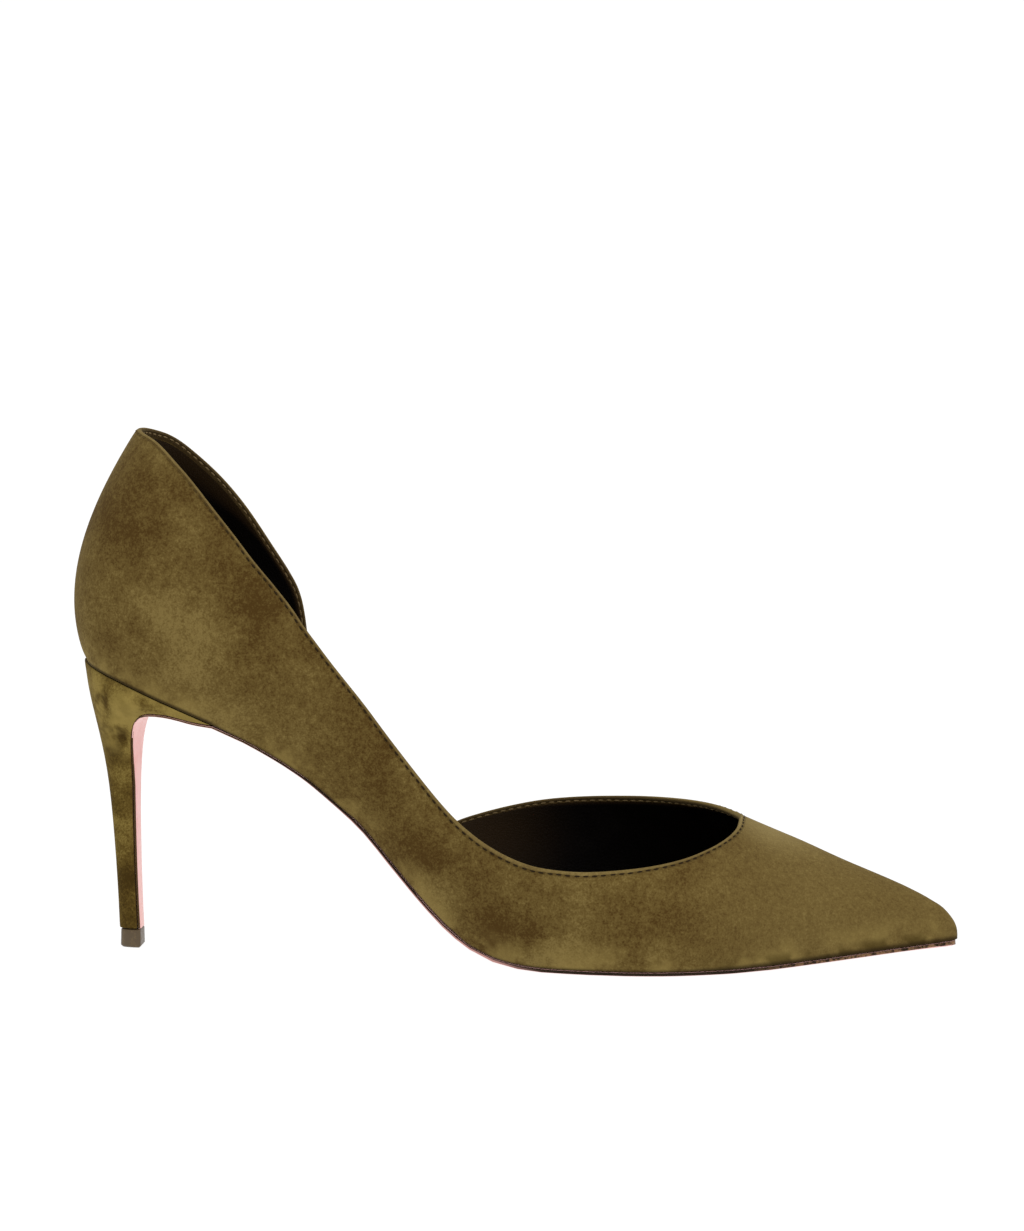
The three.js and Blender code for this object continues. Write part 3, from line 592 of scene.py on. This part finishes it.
suede, tree, shader, place = new_material("olive_suede")
toe = between(tree, axis(tree, place, "X"), 0.15, 0.2)
cloth = placed_group(
    tree, nap, Place=place, Dark=colour(70, 50, 18), Middle=colour(94, 76, 37),
    Light=colour(120, 102, 57), Brushed=calc(tree, "MULTIPLY_ADD", toe, -0.8, 1.4),
    Lean=lean_of_spots(tree, place, SPOTS_OF_TONE_AND_SHADE),
)
edge_mm = stored(tree, "from_edge")
outward_mm = stored(tree, "outward")
sole_mm = stored(tree, "from_sole")
# Painted highlight along the rolled top edge.
fold_highlight = fading(tree, edge_mm, 0.9, 1.5)
# Painted shade on the inner half of the fold, which faces away from the light.
shaded_inner_half = calc(tree, "MULTIPLY", fading(tree, edge_mm, 2.2, 3.0), fading(tree, outward_mm, -0.7, 0.1))
# The groove under the stitch row is a real dent in the bump and a painted shadow in the colour.
from_row = calc(tree, "ABSOLUTE", calc(tree, "SUBTRACT", edge_mm, ROW_LINE))
groove_and_shadow = fading(tree, from_row, 0.1, 0.5)
# A lighter, patchy band just above the sole.
near_sole = fading(tree, sole_mm, 1.5, 11)
light_patches_by_sole = calc(tree, "MULTIPLY", near_sole, between(tree, noise(tree, place, 14, 3, 0.6), 0.42, 0.62))
# Painted shade along the join of the upper and the sole, a little wider towards the toe.
shade_from = calc(tree, "MULTIPLY_ADD", toe, 0.4, 0.5)
shade_to = calc(tree, "MULTIPLY_ADD", toe, 0.8, 1.5)
sole_line_shade = fading(tree, sole_mm, shade_from, shade_to)
# Painted shade in mottled patches just above the sole at the toe.
toe_foot = calc(tree, "MULTIPLY", toe, fading(tree, sole_mm, 2, 5))
mottled_toe_shade = calc(tree, "MULTIPLY", toe_foot, between(tree, noise(tree, place, 6, 3), 0.42, 0.58))
sideways = calc(tree, "ABSOLUTE", axis(tree, place, "Y"))
behind = fading(tree, axis(tree, place, "X"), 0.015, 0.02)
back_seam = calc(tree, "MULTIPLY", behind, fading(tree, sideways, 0.1 * MM, 0.5 * MM))
# Painted highlight at the throat, on the vamp's ridge where the key light falls; it also strengthens the
# painted highlight on the fold there.
throat_highlight = near_point(tree, place, THROAT, 0.02)
# The first layer, lighter towards the toe, is painted light from above.
tint = layered(tree, cloth.outputs["Colour"], [
    (toe, 0.3, colour(112, 95, 54)),
    (throat_highlight, 0.5, colour(142, 125, 80)),
    (light_patches_by_sole, 0.62, colour(134, 115, 64)),
    (fold_highlight, calc(tree, "MULTIPLY_ADD", throat_highlight, 0.4, 0.28), colour(136, 119, 76)),
    (shaded_inner_half, 0.85, colour(50, 37, 19)),
    (groove_and_shadow, 0.3, colour(54, 39, 14)),
    (back_seam, 0.7, colour(48, 34, 12)),
    (mottled_toe_shade, 0.75, colour(66, 52, 18)),
    (sole_line_shade, 0.85, colour(36, 24, 8)),
])
tree.links.new(tint, shader.inputs["Base Color"])
felted(shader, 0.95)
relief = calc(tree, "MULTIPLY_ADD", calc(tree, "MAXIMUM", groove_and_shadow, back_seam), -1.6, cloth.outputs["Height"])
raise_by(tree, shader, relief, 0.16 * MM)
print("material", suede.name)

# %% [markdown]
# ## The heel's suede
# The heel is wrapped in the same suede, stretched tight round a narrow block, so its clouds are smaller and
# stronger, darker down the stem and light on the broad part below the seat. The group is the same, with its
# own colours and a stronger brushing, and it reads the place scaled up, which makes its clouds smaller.

# %% Make the heel's suede
heel_suede, tree, shader, place = new_material("heel_suede")
cloth = placed_group(
    tree, nap, Place=scaled(tree, place, 1.9), Dark=colour(60, 44, 11), Middle=colour(88, 70, 27),
    Light=colour(126, 108, 54), Brushed=2.4, Lean=lean_of_spots(tree, place, HEEL_SPOTS),
)
height = axis(tree, place, "Z")
# Lighter patches on the broad part below the seat.
below_seat = calc(tree, "SUBTRACT", between(tree, height, 0.052, 0.066), between(tree, height, 0.074, 0.086))
light_below_seat = calc(tree, "MULTIPLY", below_seat, between(tree, noise(tree, place, 9, 3, 0.6), 0.4, 0.62))
tint = layered(tree, cloth.outputs["Colour"], [(light_below_seat, 0.65, colour(148, 128, 68))])
tree.links.new(tint, shader.inputs["Base Color"])
felted(shader, 0.92)
raise_by(tree, shader, cloth.outputs["Height"], 0.14 * MM)
print("material", heel_suede.name)

# %% [markdown]
# ## Smooth leathers
# Lining, sock and sole are smooth leather: fine cells with creases between them, which a Voronoi texture
# gives, under a finish that is more or less polished. One group makes the grain, and each leather sets its
# own colours and gloss.

# %% Build the leather grain group
CELL = 0.9 * MM

skin, given, made = new_group(
    "leather_grain", [("Place", "Vector"), ("Base", "Color"), ("Worn", "Color")],
    [("Colour", "Color"), ("Height", "Float"), ("Roughness", "Float")],
)
spot = given.outputs["Place"]
cells = skin.nodes.new("ShaderNodeTexVoronoi")
cells.feature = "DISTANCE_TO_EDGE"
cells.inputs["Scale"].default_value = 1 / CELL
skin.links.new(spot, cells.inputs["Vector"])
creases = between(skin, cells.outputs["Distance"], 0.0, 0.14)
wear = between(skin, noise(skin, spot, 16, 5, 0.6, 0.4), 0.45, 0.75)
skin.links.new(blend(skin, wear, given.outputs["Base"], given.outputs["Worn"]), made.inputs["Colour"])
skin.links.new(creases, made.inputs["Height"])
skin.links.new(calc(skin, "MULTIPLY_ADD", wear, 0.16, 0.36), made.inputs["Roughness"])
print("group", skin.name, "has", len(skin.nodes), "nodes")


# %% Make the smooth leathers
def smooth_leather(name, base, wear_and_light, depth, shine):
    material, tree, shader, place = new_material(name)
    grain = placed_group(tree, skin, Place=place, Base=base, Worn=wear_and_light)
    tree.links.new(grain.outputs["Colour"], shader.inputs["Base Color"])
    tree.links.new(grain.outputs["Roughness"], shader.inputs["Roughness"])
    shader.inputs["Specular IOR Level"].default_value = shine
    raise_by(tree, shader, grain.outputs["Height"], depth)
    print("material", name)
    return material, tree, shader, place, grain


sock_leather = smooth_leather("dark_sock", colour(26, 19, 14), colour(34, 26, 19), 0.03 * MM, 0.12)[0]
rose = smooth_leather("rose_sole", colour(240, 190, 184), colour(232, 178, 171), 0.015 * MM, 0.4)[0]

# %% [markdown]
# ## Lining and sole edge
# The lining is painted brown along the top edge, where light reaches in, reaching deepest at the heel and
# at the front end of the cut-out, and black below, which is painted shade inside the shoe. The sole's edge
# is painted dark brown. The paint is thin down the heel's front, the rose of the underside laps over it in
# the waist, and at the toe it is rubbed down in spots to the tan leather.

# %% Make the lining and the sole's edge
QUARTER_TOP = (0.115, 0.15)
CUT_OUT_END = (0.098, 0.03, 0.03)

lining, tree, shader, place, grain = smooth_leather(
    "dark_lining", colour(6, 4, 3), colour(10, 7, 5), 0.03 * MM, 0.06
)
# Painted light and shade: brown where light reaches in by the top edge, black below in the shade inside the
# shoe.
high = between(tree, axis(tree, place, "Z"), *QUARTER_TOP)
wear_and_light = fading(tree, stored(tree, "from_edge"), 1.5, calc(tree, "MULTIPLY_ADD", high, 14, 3))
lit_brown = calc(tree, "MAXIMUM", wear_and_light, near_point(tree, place, CUT_OUT_END, 0.034))
tint = layered(tree, grain.outputs["Colour"], [(lit_brown, 1, colour(40, 28, 14))])
tree.links.new(tint, shader.inputs["Base Color"])
sole_edge, tree, shader, place, grain = smooth_leather(
    "sole_edge", colour(38, 26, 13), colour(50, 35, 19), 0.02 * MM, 0.1
)
forward = axis(tree, place, "X")
thin = fading(tree, forward, 0.03, 0.05)
spots = between(tree, noise(tree, place, 1.6, 3, 0.65), 0.4, 0.6)
bare = calc(tree, "MULTIPLY", between(tree, forward, 0.176, 0.206), spots)
waist = calc(tree, "SUBTRACT", between(tree, forward, 0.045, 0.065), between(tree, forward, 0.105, 0.125))
lap = calc(tree, "MULTIPLY", waist, between(tree, stored(tree, "from_upper"), 0.7, 1.0))
tint = layered(tree, grain.outputs["Colour"], [
    (thin, 0.8, colour(82, 62, 34)),
    (bare, 0.85, colour(146, 110, 80)),
    (lap, 0.85, colour(214, 160, 152)),
])
tree.links.new(tint, shader.inputs["Base Color"])

# %% [markdown]
# ## Thread and heel tip
# Thread has a twist too fine to see from here, so a fine noise stands for it. The outer one sinks into the
# nap at the top of the quarter and takes its colour there. The tip is moulded plastic,
# a plain block that is a little scuffed where it meets the floor.

# %% Make the thread and the tip
def thread(name, dark, light, at_top):
    material, tree, shader, place = new_material(name)
    strands = noise(tree, place, 0.3, 2, 0.6)
    high = between(tree, axis(tree, place, "Z"), *QUARTER_TOP)
    tree.links.new(blend(tree, high, blend(tree, strands, dark, light), at_top), shader.inputs["Base Color"])
    shader.inputs["Roughness"].default_value = 0.85
    shader.inputs["Specular IOR Level"].default_value = 0.1
    raise_by(tree, shader, strands, 0.05 * MM)
    return material


dark_thread = thread("dark_thread", colour(28, 19, 7), colour(44, 31, 13), colour(82, 64, 30))
# The inside row's lighter colour is a painted glint on the thread.
glint_painted_thread = thread("glint_painted_thread", colour(86, 70, 44), colour(112, 94, 64), colour(112, 94, 64))
tip_plastic, tree, shader, place = new_material("tip_plastic")
scuffs = between(tree, noise(tree, place, 1.6, 4, 0.65), 0.5, 0.72)
tree.links.new(blend(tree, scuffs, colour(78, 61, 34), colour(97, 79, 48)), shader.inputs["Base Color"])
tree.links.new(calc(tree, "MULTIPLY_ADD", scuffs, 0.25, 0.4), shader.inputs["Roughness"])
raise_by(tree, shader, scuffs, 0.02 * MM)
print("materials", dark_thread.name, glint_painted_thread.name, tip_plastic.name)

# %% [markdown]
# ## Giving each piece its finish
# A piece can carry several materials, with each face naming the one it wears. The sole has two: polished
# leather underneath and down the heel's front, and a painted edge, which is every face that looks sideways.

# %% Assign the materials
TOE_TIP = 225 * MM

for piece, finishes in (
    (upper, [suede, lining]), (outer_stitches, [dark_thread]), (inner_stitches, [glint_painted_thread]),
    (sock, [sock_leather]), (sole, [rose, sole_edge]), (heel, [heel_suede]), (tip, [tip_plastic]),
):
    for material in finishes:
        piece.data.materials.append(material)
edge_faces = 0
for face in sole.data.polygons:
    upright = abs(face.normal.z) < 0.55
    on_edge = upright and (abs(face.normal.y) > 0.35 or face.center.x > TOE_TIP)
    face.material_index = 1 if on_edge else 0
    edge_faces += on_edge
print("faces of the sole's edge:", edge_faces)

# %% [markdown]
# ## Tying the pieces to the CAD
# Each copy stands for its CAD node, which is then hidden but kept for physics. Every piece rides on the
# one body that this shoe has.

# %% Ride and replace
for piece, node, slot in (
    (upper, "upper", "suede"), (sock, "insole", "lining"), (sole, "outsole", "sole_leather"),
    (heel, "heel", "heel_cover"), (tip, "heel_tip", "tip"),
):
    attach(piece, "root")
    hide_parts(node)
for stitches in (outer_stitches, inner_stitches):
    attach(stitches, "root")

# %% [markdown]
# ## Floor and light
# The photograph is a catalogue picture: white all round, with light from every side and a soft key from
# above and in front. A broad floor and a white world give the first, and a wide sun lamp gives the second,
# because its light doesn't weaken with distance and so keeps the floor evenly white to the horizon.

# %% Lay the floor
FLOOR_RADIUS = 12
FLOOR_GAP = 0.05 * MM
WHITE = (1, 1, 1, 1)

bpy.ops.object.select_all(action="DESELECT")
bpy.ops.mesh.primitive_circle_add(
    vertices=128, radius=FLOOR_RADIUS, fill_type="NGON", location=(0, 0, -FLOOR_GAP)
)
floor = bpy.context.object
floor.name = "floor"
paper, tree, shader, place = new_material("white_paper")
shader.inputs["Base Color"].default_value = (0.1, 0.1, 0.1, 1)
shader.inputs["Roughness"].default_value = 1
shader.inputs["Specular IOR Level"].default_value = 0
shader.inputs["Emission Color"].default_value = WHITE
shader.inputs["Emission Strength"].default_value = 0.95
floor.data.materials.append(paper)

# %% Set the lights
SKY = 0.85
SKY_SEEN_EXTRA = 0.2
KEY_FROM = Vector((0.45, -0.6, 1.4))
KEY_ENERGY = 1.15
KEY_WIDTH = math.radians(50)

world = bpy.data.worlds.new("white_studio")
bpy.context.scene.world = world
world.use_nodes = True
tree = world.node_tree
seen = tree.nodes.new("ShaderNodeLightPath").outputs["Is Camera Ray"]
strength = calc(tree, "MULTIPLY_ADD", seen, SKY_SEEN_EXTRA, SKY)
background = tree.nodes["Background"]
background.inputs["Color"].default_value = WHITE
tree.links.new(strength, background.inputs["Strength"])
bpy.ops.object.light_add(type="SUN", location=(0, 0, 3))
key = bpy.context.object
key.data.energy = KEY_ENERGY
key.data.angle = KEY_WIDTH
key.rotation_euler = KEY_FROM.to_track_quat("Z", "Y").to_euler()
bpy.context.scene.view_settings.view_transform = "Standard"
print("world and key light set")

# %% [markdown]
# ## The camera
# The picture was taken a little from the toe side and a little from above, with a long lens. Height and
# distance were found from how the heel tip's corner and the far top line show, and the lens from the
# shoe's length in the picture.

# %% Place the camera
AZIMUTH, ELEVATION, ROLL = (math.radians(angle) for angle in (4.5, 5.7, 0.35))
AIM = Vector((0.1113, 0, 0.099))
DISTANCE = 1.4
PIXELS_PER_MM = 3.447
PICTURE_HEIGHT = 1231
SENSOR = 36

backwards = Vector((
    math.sin(AZIMUTH) * math.cos(ELEVATION), -math.cos(AZIMUTH) * math.cos(ELEVATION), math.sin(ELEVATION),
))
level = Vector((math.cos(AZIMUTH), math.sin(AZIMUTH), 0))
upright = backwards.cross(level)
rightwards = level * math.cos(ROLL) + upright * math.sin(ROLL)
upwards = upright * math.cos(ROLL) - level * math.sin(ROLL)
bpy.ops.object.camera_add()
camera = bpy.context.object
camera.matrix_world = (
    Matrix.Translation(AIM + backwards * DISTANCE)
    @ Matrix((rightwards, upwards, backwards)).transposed().to_4x4()
)
camera.data.sensor_width = SENSOR
camera.data.lens = SENSOR * PIXELS_PER_MM * DISTANCE / MM / PICTURE_HEIGHT
camera.data.clip_start = 0.05
camera.data.clip_end = 60
bpy.context.scene.camera = camera
print("lens in mm:", round(camera.data.lens, 1))
